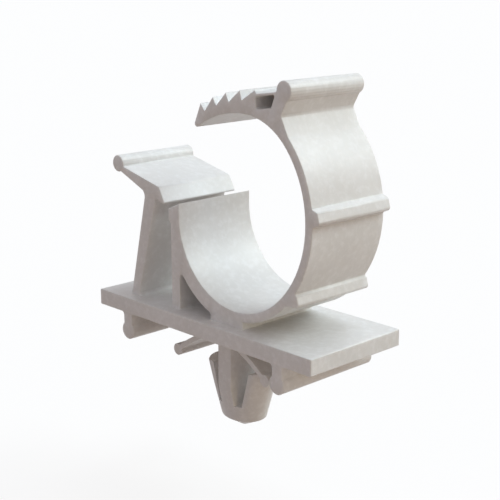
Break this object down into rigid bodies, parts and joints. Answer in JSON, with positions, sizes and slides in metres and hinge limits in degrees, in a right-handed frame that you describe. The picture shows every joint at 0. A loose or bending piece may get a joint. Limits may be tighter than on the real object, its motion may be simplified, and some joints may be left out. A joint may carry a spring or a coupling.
{
  "type": "cable clamp",
  "caption": "Moulded nylon cable clamp: an open ratchet loop over a round seat, a latch post with thumb tab, and a barbed push-in arrowhead with spring wings.",
  "frame": {"origin": "on the arrowhead's axis, in the plane of the feet's lower edges, which is the panel's face", "axes": "+Z away from the panel, +Y along the cable bundle, latch post on the -X side"},
  "size_m": [0.0249, 0.01, 0.0293],
  "materials": {
    "natural_nylon": "satin as-moulded natural nylon"
  },
  "bodies": {
    "root": {"clamp_moulding": "natural_nylon"}
  },
  "joints": []
}
